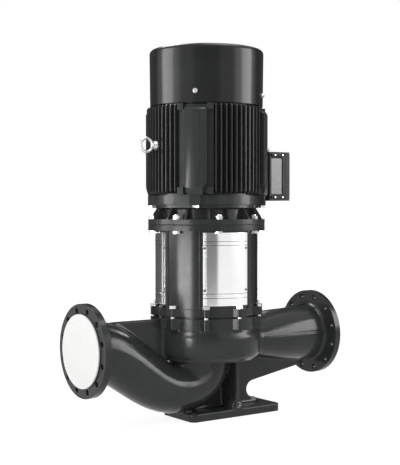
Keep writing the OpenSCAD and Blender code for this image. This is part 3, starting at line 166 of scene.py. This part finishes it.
def metal(name, colour, rough, streak=None, tint=0.06, bump=0.05, grain=120, edge_radius=0.0008, lines=()):
    """Bare or plated metal; streak stretches the grain, lines are the heights of thin painted shade lines
    that stand for pressed ribs.
    """
    s = Shader(name)
    spots = s.noise(24, 6, 0.65)
    dark = tuple(c * (1 - tint) for c in colour)
    pale = tuple(min(1, c * (1 + tint)) for c in colour)
    paint = s.colours(spots, dark, pale)
    for height in lines:
        paint = s.with_rib_shade(paint, height)
    s.link(paint, s.bsdf.inputs["Base Color"])
    fine = s.noise(grain, 5, 0.65, streak)
    s.link(s.ramp(fine, rough[0], rough[1]), s.bsdf.inputs["Roughness"])
    s.set(Metallic=1.0)
    s.bump([(fine, bump, 0.0004)], edge_radius)
    return s.material


def moulded(name, colour, rough, tint=0.06):
    """Moulded plastic or rubber with a fine eroded skin and faint scuffs."""
    s = Shader(name)
    clouds = s.noise(14, 5, 0.6)
    s.link(s.colours(clouds, tuple(c * (1 - tint) for c in colour), colour), s.bsdf.inputs["Base Color"])
    s.link(s.ramp(s.noise(60, 4, 0.6), rough[0], rough[1]), s.bsdf.inputs["Roughness"])
    s.bump([(s.noise(420, 2, 0.5), 0.08, 0.0005), (s.noise(30, 3, 0.5), 0.06, 0.002)])
    return s.material


def wound_copper(name):
    """Varnished coil heads: strands that run round the shaft."""
    s = Shader(name)
    strands = s.noise(90, 3, 0.6, (0.2, 0.2, 3.0))
    s.link(s.colours(strands, (0.1, 0.028, 0.012), (0.36, 0.13, 0.06)), s.bsdf.inputs["Base Color"])
    s.link(s.ramp(strands, 0.25, 0.5), s.bsdf.inputs["Roughness"])
    s.set(Metallic=0.6)
    s.bump([(strands, 0.6, 0.002)])
    return s.material


# The tones paint light and shade: each part's copy of the one black paint is made lighter or darker for the
# light it catches, the frame's lighter to make up for the shade between its fins.
PAINT = black_enamel("black_enamel", tone=2.6)
COWL_PAINT = black_enamel("cowl_enamel", tone=1.5, rough=(0.17, 0.21))
CAST_PAINT = black_enamel("cast_enamel", tone=2.5, rough=(0.15, 0.22), cast=0.35)
FINE_CAST = black_enamel("fine_cast_enamel", tone=2.1, cast=0.15, edge_radius=0.002)
BOX_PAINT = black_enamel("box_enamel", tone=1.8, rough=(0.5, 0.6), cast=0.1)
# The guards' sheet carries thin painted shade lines for its pressed ribs.
STAINLESS = metal("stainless_sheet", (0.84, 0.84, 0.84), (0.13, 0.18), streak=(14, 14, 0.5), tint=0.03,
                  bump=0.004, grain=90, edge_radius=0.0002, lines=GUARD_RIB_SHADE)
ZINC = metal("zinc_plate", (0.68, 0.68, 0.67), (0.22, 0.42), tint=0.1, bump=0.06, grain=160)
STEEL = metal("machined_steel", (0.42, 0.43, 0.45), (0.22, 0.38), streak=(1, 1, 18), bump=0.06, grain=90)
DARK_STEEL = metal("dark_steel", (0.16, 0.165, 0.17), (0.3, 0.5), tint=0.1, bump=0.06, grain=160)
LAMINATE = metal("sheet_stack", (0.3, 0.3, 0.31), (0.35, 0.5), streak=(0.5, 0.5, 60), tint=0.08,
                 bump=0.3, grain=60)
BRONZE = metal("bronze_casting", (0.5, 0.3, 0.12), (0.25, 0.45), tint=0.12, bump=0.1, grain=110)
COPPER = wound_copper("coil_varnish")
RUBBER = moulded("gasket_rubber", (0.018, 0.018, 0.018), (0.55, 0.7))
CAP_WHITE = moulded("cap_plastic", (0.94, 0.94, 0.93), (0.4, 0.55), tint=0.03)
# Pale grey of the box's side plate: partly the plate's own colour, partly painted sheen for the light that
# side catches.
PANEL_GREY_AND_SHEEN = moulded("panel_grey_and_sheen", (0.085, 0.09, 0.088), (0.28, 0.36), tint=0.1)
GREY_PLASTIC = moulded("grey_plastic", (0.035, 0.037, 0.04), (0.35, 0.5))

SLOT_FINISH = {
    "black_paint": PAINT, "cast_black": CAST_PAINT, "stainless": STAINLESS, "zinc": ZINC,
    "steel": STEEL, "bronze": BRONZE, "rubber": RUBBER, "cap_white": CAP_WHITE,
    "plastic_grey": GREY_PLASTIC, "copper": COPPER,
}
NODE_FINISH = {
    "fan_cowl": COWL_PAINT, "lantern": FINE_CAST, "seal_cover": FINE_CAST, "stator_core": LAMINATE,
    "rotor_core": LAMINATE, "guard_screws": DARK_STEEL, "jacking_screws": DARK_STEEL,
    "drain_plug": DARK_STEEL, "terminal_box": BOX_PAINT, "terminal_lid": BOX_PAINT,
}


def finish_with(obj, material):
    obj.data.materials.clear()
    obj.data.materials.append(material)


# ---------------------------------------------------------------- CAD nodes

WELD_GAP = 0.00002
SHARP_ANGLE = math.radians(32)


def smooth_faces(mesh):
    for polygon in mesh.polygons:
        polygon.use_smooth = True


def dress(obj):
    """Joins the object's split corners and shades it smooth between its sharp edges."""
    weld = obj.modifiers.new("weld", "WELD")
    weld.merge_threshold = WELD_GAP
    smooth_faces(obj.data)
    sharp = obj.modifiers.new("sharp_edges", "EDGE_SPLIT")
    sharp.split_angle = SHARP_ANGLE


for part in frame["record"]["subparts"]:
    node = NODES[part["node"]]
    finish_with(node, NODE_FINISH.get(part["node"], SLOT_FINISH[part["material_slot"]]))
    if part["node"] != "pump_casing":
        dress(node)


# ---------------------------------------------------------------- casing as a casting

RING_FROM = 0.3445          # underside of the ring that carries the bolt lugs
RING_REACH = 0.232          # the ring's greatest reach along x
RING_R = 0.1995
RING_FADE = 0.003
RING_SUNK = 0.002           # how far the skin lies below the crisp ring
BELLY_Z = 0.288             # height at which the drum is widest
BELLY_TUCK = 0.024          # how far the drum's side draws in at its floor
DRUM_FLOOR = 0.222
DRUM_SIDE = (0.19, 0.226)   # radii between which the drum's side lies
DRUM_FADE = (0.006, 0.01)
FLOOR_GAP = 0.004
AXIS_GAP = 0.01             # keeps a radius off zero
PARTING_Z = 0.294
PARTING_FROM = 0.19
PARTING_FADE = (0.03, 0.01)
NECK_SIDE = 0.07            # the parting line runs where |y| is larger
FIN_HALF = 0.0032
FIN_HEIGHT = 0.0055
FOOT_TOP = 0.031
FOOT_SHARE = 0.12           # share of the smoothing that reaches the foot
RING_SHARE = 0.93           # share of the smoothing that the ring holds off
FLANGE_BACK = 0.521
FLANGE_FADE = 0.012
SKIN_LAP = 0.0004           # the skin and the flanges overlap by the difference of these two
FLANGE_LAP = 0.0008
EDGE_GAP = 0.001
SKIN = 0.0028

FILLET_ROUNDS = 34
EVEN_ROUNDS = 6             # the first rounds smooth corners and edges alike
NORMALS_EVERY = 4
EVEN_RATE = 0.5
FILLING_RATE = 0.55
WEARING_RATE = 0.14


def mesh_from(b, name):
    """The bmesh as a mesh; the bmesh is freed."""
    mesh = bpy.data.meshes.new(name)
    b.to_mesh(mesh)
    b.free()
    return mesh


def part_of(node, planes):
    """A copy of a node's mesh, cut by (point, direction) planes; what lies along a direction is dropped."""
    b = bmesh.new()
    b.from_mesh(NODES[node].data)
    bmesh.ops.remove_doubles(b, verts=b.verts, dist=WELD_GAP)
    for point, direction in planes:
        everything = list(b.verts) + list(b.edges) + list(b.faces)
        cut = bmesh.ops.bisect_plane(b, geom=everything, plane_co=point, plane_no=direction, clear_outer=True)
        rim = [e for e in cut["geom_cut"] if isinstance(e, bmesh.types.BMEdge)]
        bmesh.ops.triangle_fill(b, edges=rim, use_beauty=True)
    bmesh.ops.recalc_face_normals(b, faces=b.faces)
    return mesh_from(b, node + "_part")


def new_piece(name, mesh, material, body="housing"):
    piece = bpy.data.objects.new(name, mesh)
    SCENE.collection.objects.link(piece)
    finish_with(piece, material)
    smooth_faces(mesh)
    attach(piece, body)
    return piece


def remeshed(mesh, size):
    """The mesh as one even skin of small faces."""
    scratch = bpy.data.objects.new("scratch", mesh)
    SCENE.collection.objects.link(scratch)
    skin = scratch.modifiers.new("skin", "REMESH")
    skin.mode = "VOXEL"
    skin.voxel_size = size
    bpy.context.view_layer.update()
    even = bpy.data.meshes.new_from_object(scratch.evaluated_get(bpy.context.evaluated_depsgraph_get()))
    bpy.data.objects.remove(scratch)
    return even


def points_of(mesh):
    co = np.empty(len(mesh.vertices) * 3)
    mesh.vertices.foreach_get("co", co)
    return co.reshape(-1, 3)


def normals_of(mesh):
    normal = np.empty(len(mesh.vertices) * 3)
    mesh.vertex_normals.foreach_get("vector", normal)
    return normal.reshape(-1, 3)


def put_points(mesh, co):
    mesh.vertices.foreach_set("co", co.ravel())
    mesh.update()


def rising(value, start, run):
    """0 up to the start, 1 from start + run on."""
    return np.clip((value - start) / run, 0, 1)


def falling(value, end, run):
    """1 up to end - run, 0 from the end on."""
    return np.clip((end - value) / run, 0, 1)


def fillet(mesh, weight):
    """Smooths an even skin as a pattern maker would: wide fillets in corners, small rounds on edges."""
    co = points_of(mesh)
    count = len(co)
    ends = np.empty(len(mesh.edges) * 2, np.int64)
    mesh.edges.foreach_get("vertices", ends)
    a, b = ends.reshape(-1, 2).T
    neighbours = np.maximum(np.bincount(a, minlength=count) + np.bincount(b, minlength=count), 1)
    w = weight(co)[:, None]
    for step in range(FILLET_ROUNDS):
        sums = [np.bincount(a, co[b, k], count) + np.bincount(b, co[a, k], count) for k in range(3)]
        move = np.stack(sums, 1) / neighbours[:, None] - co
        if step < EVEN_ROUNDS:
            co = co + EVEN_RATE * w * move
            continue
        if (step - EVEN_ROUNDS) % NORMALS_EVERY == 0:
            put_points(mesh, co)
            normal = normals_of(mesh)
        filling = (move * normal).sum(1)[:, None] > 0
        co = co + np.where(filling, FILLING_RATE, WEARING_RATE) * w * move
    put_points(mesh, co)
    return co


def casing_weight(co):
    """How far the skin may move: fully on the casting's body, little on foot and ring, not at the flanges."""
    w = falling(np.abs(co[:, 0]), FLANGE_BACK - EDGE_GAP, FLANGE_FADE)
    w *= np.where(co[:, 2] < FOOT_TOP, FOOT_SHARE, 1)
    return w * (1 - RING_SHARE * under_ring(co))


def under_ring(co):
    """1 where the crisp ring with its bolt lugs covers the skin."""
    inside = falling(np.abs(co[:, 0]), RING_REACH - EDGE_GAP, RING_FADE)
    return inside * rising(co[:, 2], RING_FROM + EDGE_GAP, RING_FADE)


def bellied(mesh):
    """Gives the volute's drum a bellied side: a long shoulder above and a deep round below."""
    co = points_of(mesh)
    r, z = np.hypot(co[:, 0], co[:, 1]), co[:, 2]
    up = rising(z, BELLY_Z, RING_FROM - BELLY_Z)
    down = falling(z, BELLY_Z, BELLY_Z - DRUM_FLOOR)
    wanted = RING_R + (r - RING_R) * np.sqrt(1 - up ** 2) - BELLY_TUCK * (1 - np.sqrt(1 - down ** 2))
    near = rising(r, DRUM_SIDE[0], DRUM_FADE[0]) * falling(r, DRUM_SIDE[1], DRUM_FADE[1])
    near *= (z < RING_FROM) * (z > DRUM_FLOOR + FLOOR_GAP)
    move = np.minimum(wanted - r, 0) * near
    co[:, :2] *= (1 + move / np.maximum(r, AXIS_GAP))[:, None]
    put_points(mesh, co)


def raised(mesh, co, mask, height):
    """Lifts the masked part of a skin along its normals; a height below 0 sinks it."""
    co = co + height * mask[:, None] * normals_of(mesh)
    put_points(mesh, co)
    return co


def parting_ridge(mesh, co):
    """Raises the fin left by the mould's parting line along both sides of the discharge neck."""
    x, y, z = co.T
    along = rising(x, PARTING_FROM, PARTING_FADE[0]) * falling(x, FLANGE_BACK - FLANGE_FADE, PARTING_FADE[1])
    fin = along * (np.abs(y) > NECK_SIDE) * np.exp(-((z - PARTING_Z) / FIN_HALF) ** 2)
    return raised(mesh, co, fin, FIN_HEIGHT)


def make_casing():
    """One rounded skin in place of the CAD casing, with its ring and its two flanges as crisp pieces."""
    ends = [((side * (FLANGE_BACK - SKIN_LAP), 0, 0), (side, 0, 0)) for side in (1, -1)]
    skin = remeshed(part_of("pump_casing", ends), SKIN)
    bellied(skin)
    co = fillet(skin, casing_weight)
    co = parting_ridge(skin, co)
    raised(skin, co, under_ring(co), -RING_SUNK)
    body = new_piece("casing_casting", skin, CAST_PAINT)
    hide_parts("pump_casing")
    ring = [((0, 0, RING_FROM), (0, 0, -1))]
    ring += [((side * RING_REACH, 0, 0), (side, 0, 0)) for side in (1, -1)]
    dress(new_piece("casing_ring", part_of("pump_casing", ring), FINE_CAST))
    for side, name in ((1, "discharge_flange"), (-1, "suction_flange")):
        mesh = part_of("pump_casing", [((side * (FLANGE_BACK - FLANGE_LAP), 0, 0), (-side, 0, 0))])
        dress(new_piece(name, mesh, FINE_CAST))


make_casing()


# ---------------------------------------------------------------- terminal box trim

RAIL_PROFILE = [(0, 0.003), (0.02, 0.0052), (0.06, 0.006), (0.94, 0.006), (0.98, 0.0052), (1, 0.003)]
RAIL_ENDS = (0.006, 0.004)          # distance from the box's two ends along x
RAIL_INSET = 0.013                  # distance from its top and bottom
RAIL_OUT = 0.001
SCREW_PROFILE = [(0, 0.0042), (0.5, 0.0042), (0.85, 0.0034), (1, 0.002)]
SCREW_ENDS = (0.022, 0.018)
SCREW_OUT = (0.0055, 0.0095)
PLATE_LESS = (0.024, 0.05)          # how much shorter and lower than the box the plate is
PLATE_THICK = 0.0016
PLATE_FROM = 0.0085
PLATE_DEPTH = 0.0022
PLATE_EDGE = 0.0005


def box_of(node):
    """Lowest and highest corner of a CAD node, in metres."""
    corners = [NODES[node].matrix_world @ Vector(corner) for corner in NODES[node].bound_box]
    return [min(c[k] for c in corners) for k in range(3)], [max(c[k] for c in corners) for k in range(3)]


def turned(b, start, end, profile, segments=20):
    """A turned body between two points; profile gives (share of the length, radius) pairs."""
    start, end = Vector(start), Vector(end)
    axis = (end - start).normalized()
    across = axis.orthogonal().normalized()
    other = axis.cross(across)
    spots = [2 * math.pi * k / segments for k in range(segments)]
    rings = []
    for share, radius in profile:
        at = start.lerp(end, share)
        rings.append([b.verts.new(at + radius * (math.cos(a) * across + math.sin(a) * other)) for a in spots])
    for low, high in zip(rings, rings[1:]):
        for k in range(segments):
            b.faces.new([low[k - 1], low[k], high[k], high[k - 1]])
    b.faces.new(list(reversed(rings[0])))
    b.faces.new(rings[-1])


def make_box_trim():
    """Rails with screws and a satin, pale grey cover plate on the terminal box's side without the gland; the
    plate's grey, lighter than the box's paint, is partly painted sheen for the light that side catches.
    """
    low, high = box_of("terminal_box")
    side = low[1]
    rails, screws, plate = bmesh.new(), bmesh.new(), bmesh.new()
    for z in (low[2] + RAIL_INSET, high[2] - RAIL_INSET):
        start, end = [(x, side - RAIL_OUT, z) for x in (low[0] + RAIL_ENDS[0], high[0] - RAIL_ENDS[1])]
        turned(rails, start, end, RAIL_PROFILE)
        for x in (low[0] + SCREW_ENDS[0], high[0] - SCREW_ENDS[1]):
            start, end = [(x, side - out, z) for out in SCREW_OUT]
            turned(screws, start, end, SCREW_PROFILE)
    bmesh.ops.create_cube(plate, size=1)
    size = (high[0] - low[0] - PLATE_LESS[0], PLATE_THICK, high[2] - low[2] - PLATE_LESS[1])
    at = (low[0] + PLATE_FROM + size[0] / 2, side + PLATE_DEPTH, (low[2] + high[2]) / 2)
    for vert in plate.verts:
        vert.co = Vector([at[k] + vert.co[k] * size[k] for k in range(3)])
    bmesh.ops.bevel(plate, geom=plate.edges[:], offset=PLATE_EDGE, segments=2, affect="EDGES")
    for name, b, material, slot in (("box_rails", rails, BOX_PAINT, "black_paint"),
                                    ("rail_screws", screws, ZINC, "zinc"),
                                    ("box_side_plate", plate, PANEL_GREY_AND_SHEEN, "black_paint")):
        bmesh.ops.recalc_face_normals(b, faces=b.faces)
        dress(new_piece(name, mesh_from(b, name), material))


make_box_trim()


# ---------------------------------------------------------------- stage

CAMERA_SIDE = -125.7                # direction of the camera round the shaft, in degrees from +x
CAMERA_AT = (-2.2986, -3.1988, 0.795)
CAMERA_TURN = (88.73, 0, -35.34)
CAMERA_LENS = 78.8
MIDDLE = (0, 0, 0.75)
MOTOR = (0, 0, 1.1)
FLOOR_RADIUS = 14
FLOOR_GLOW = 1.27
GLOW_SHARE = 0.7                    # the rest of the floor is plain, and shows the object's shadow
SOFT_LIGHT = 0.68                   # the world's strength for diffuse light; it shows as 1


def round_from_camera(angle, distance, height):
    """A place round the shaft: angle 0 lies towards the camera, and it grows towards the image's right."""
    world = math.radians(CAMERA_SIDE + angle)
    return (distance * math.cos(world), distance * math.sin(world), height)


def light(name, at, aim, size, watts, only):
    """A soft lamp that works in "reflections" only or as "diffuse" light only."""
    data = bpy.data.lights.new(name, "AREA")
    data.shape = "RECTANGLE"
    data.size, data.size_y = size
    data.energy = watts
    lamp = bpy.data.objects.new(name, data)
    lamp.location = at
    lamp.rotation_euler = (Vector(aim) - Vector(at)).to_track_quat("-Z", "Y").to_euler()
    lamp.visible_diffuse = only == "diffuse"
    lamp.visible_glossy = only == "reflections"
    SCENE.collection.objects.link(lamp)


def card(name, angle, distance, height, size, tone):
    """A dark card that only reflections see, as in a photographer's tent."""
    b = bmesh.new()
    w, h = size[0] / 2, size[1] / 2
    b.faces.new([b.verts.new(co) for co in ((-w, -h, 0), (w, -h, 0), (w, h, 0), (-w, h, 0))])
    obj = bpy.data.objects.new(name, mesh_from(b, name))
    obj.location = round_from_camera(angle, distance, height)
    obj.rotation_euler = (Vector(MIDDLE) - obj.location).to_track_quat("Z", "Y").to_euler()
    SCENE.collection.objects.link(obj)
    s = Shader(name)
    s.set(Base_Color=(tone, tone, tone, 1), Roughness=1.0, Specular_IOR_Level=0.0)
    finish_with(obj, s.material)
    obj.visible_camera = obj.visible_diffuse = obj.visible_shadow = False


light("left_softbox", round_from_camera(-82, 2.7, 1.51), MOTOR, (1.3, 1.66), 66, "reflections")
light("left_fill", round_from_camera(-62, 2.8, 1.5), MOTOR, (0.9, 1.7), 10, "reflections")
light("right_softbox", round_from_camera(86, 2.7, 1.53), MOTOR, (1.2, 1.62), 60, "reflections")
light("right_fill", round_from_camera(66, 2.8, 1.54), MOTOR, (0.9, 1.6), 12, "reflections")
light("low_softbox", round_from_camera(-48, 2.8, 0.36), (0, 0, 0.5), (1.6, 0.56), 62, "reflections")
light("crest_light", (-0.1, 1.3, 3.0), (-0.3, 0, 0.3), (0.9, 0.9), 44, "reflections")
light("top_softbox", (0.4, -0.6, 3.4), (0, 0, 0.4), (1.6, 1.6), 50, "reflections")
light("key", round_from_camera(-38, 3.2, 2.7), (0, 0, 0.6), (2.4, 2.0), 38, "diffuse")
light("rim", round_from_camera(140, 3.2, 2.7), (0, 0, 0.6), (2.4, 2.0), 14, "diffuse")
card("room_card", 0, 4.6, 1.4, (4.4, 3.6), 0.3)
card("left_back_card", -146, 3.0, 1.4, (3.9, 3.6), 0.12)
card("right_back_card", 146, 3.0, 1.4, (3.9, 3.6), 0.12)


def seen_outright(tree):
    """1 for the camera's rays and for what shiny and clear surfaces show, 0 for light and shadow."""
    path = tree.nodes.new("ShaderNodeLightPath")
    seen = path.outputs["Is Camera Ray"]
    for ray in ("Is Glossy Ray", "Is Transmission Ray"):
        either = tree.nodes.new("ShaderNodeMath")
        either.operation = "MAXIMUM"
        tree.links.new(seen, either.inputs[0])
        tree.links.new(path.outputs[ray], either.inputs[1])
        seen = either.outputs[0]
    return seen


def stage_floor():
    b = bmesh.new()
    bmesh.ops.create_circle(b, cap_ends=True, segments=96, radius=FLOOR_RADIUS)
    floor = bpy.data.objects.new("floor", mesh_from(b, "floor"))
    SCENE.collection.objects.link(floor)
    s = Shader("pale_floor")
    s.set(Base_Color=(0.9, 0.9, 0.9, 1), Roughness=0.9, Specular_IOR_Level=0.1)
    glow = s.add("ShaderNodeEmission")
    glow.inputs["Strength"].default_value = FLOOR_GLOW
    share = s.add("ShaderNodeMath", operation="MULTIPLY")
    share.inputs[1].default_value = GLOW_SHARE
    s.link(seen_outright(s.tree), share.inputs[0])
    mix = s.add("ShaderNodeMixShader")
    s.link(share.outputs[0], mix.inputs[0])
    s.link(s.bsdf.outputs[0], mix.inputs[1])
    s.link(glow.outputs[0], mix.inputs[2])
    s.link(mix.outputs[0], s.surface)
    finish_with(floor, s.material)


def stage_world():
    world = bpy.data.worlds.new("studio")
    SCENE.world = world
    world.use_nodes = True
    tree = world.node_tree
    tree.nodes.clear()
    mix = tree.nodes.new("ShaderNodeMixShader")
    tree.links.new(seen_outright(tree), mix.inputs[0])
    for socket, strength in ((1, SOFT_LIGHT), (2, 1.0)):
        white = tree.nodes.new("ShaderNodeBackground")
        white.inputs["Color"].default_value = (1, 1, 1, 1)
        white.inputs["Strength"].default_value = strength
        tree.links.new(white.outputs[0], mix.inputs[socket])
    out = tree.nodes.new("ShaderNodeOutputWorld")
    tree.links.new(mix.outputs[0], out.inputs["Surface"])


def stage_camera():
    data = bpy.data.cameras.new("camera")
    data.lens = CAMERA_LENS
    data.sensor_width = 36
    camera = bpy.data.objects.new("camera", data)
    camera.location = CAMERA_AT
    camera.rotation_euler = Euler([math.radians(a) for a in CAMERA_TURN])
    SCENE.collection.objects.link(camera)
    SCENE.camera = camera


stage_floor()
stage_world()
stage_camera()
SCENE.view_settings.view_transform = "Standard"
